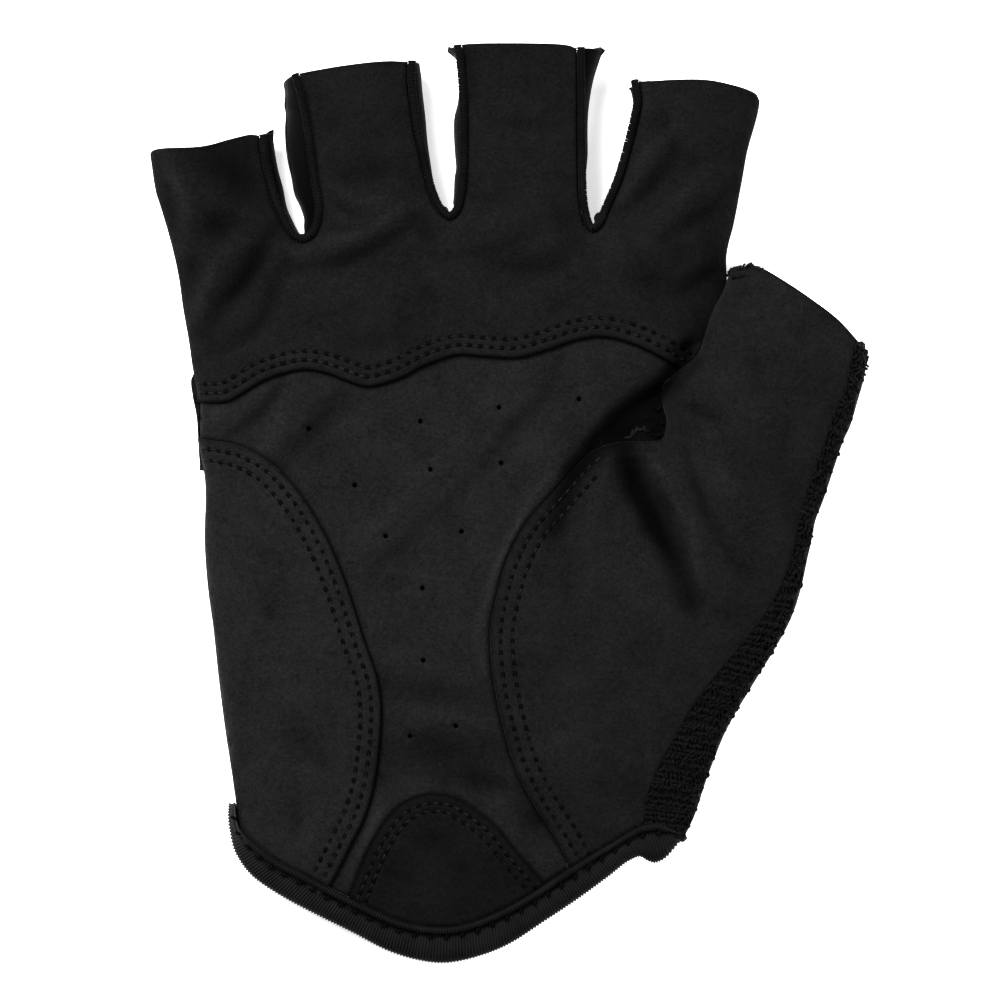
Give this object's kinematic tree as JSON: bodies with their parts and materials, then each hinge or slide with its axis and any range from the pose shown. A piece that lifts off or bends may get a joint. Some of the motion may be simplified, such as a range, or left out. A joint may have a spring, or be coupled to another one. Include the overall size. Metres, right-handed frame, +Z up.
{
  "type": "cycling glove",
  "caption": "Short-finger cycling glove for the right hand, lying palm up: layered suede palm, knit back and thumb strip, piped finger gaps and a ribbed cuff binding.",
  "frame": {"origin": "on the resting plane, under the middle of the glove's bounding box", "axes": "+Z up out of the palm, +Y from the cuff toward the fingertips, +X toward the thumb"},
  "size_m": [0.133, 0.171, 0.0199],
  "materials": {
    "palm_suede": "matt synthetic suede",
    "centre_suede": "matt perforated suede",
    "back_knit": "fine stretch knit",
    "terry_knit": "looped terry knit",
    "gusset_knit": "smooth stretch knit",
    "ribbed_tape": "ribbed woven tape"
  },
  "bodies": {
    "root": {"finger_panel": "palm_suede", "centre_panel": "centre_suede", "outer_heel_panel": "palm_suede", "thumb_panel": "palm_suede", "heel_patch": "palm_suede", "back_panel": "back_knit", "back_hem": "ribbed_tape", "thumb_back": "terry_knit", "cuff_binding": "ribbed_tape", "fourchette_little_ring": "gusset_knit", "fourchette_ring_middle": "gusset_knit", "fourchette_middle_index": "gusset_knit", "piping_little_ring": "ribbed_tape", "piping_ring_middle": "ribbed_tape", "piping_middle_index": "ribbed_tape"}
  },
  "joints": []
}
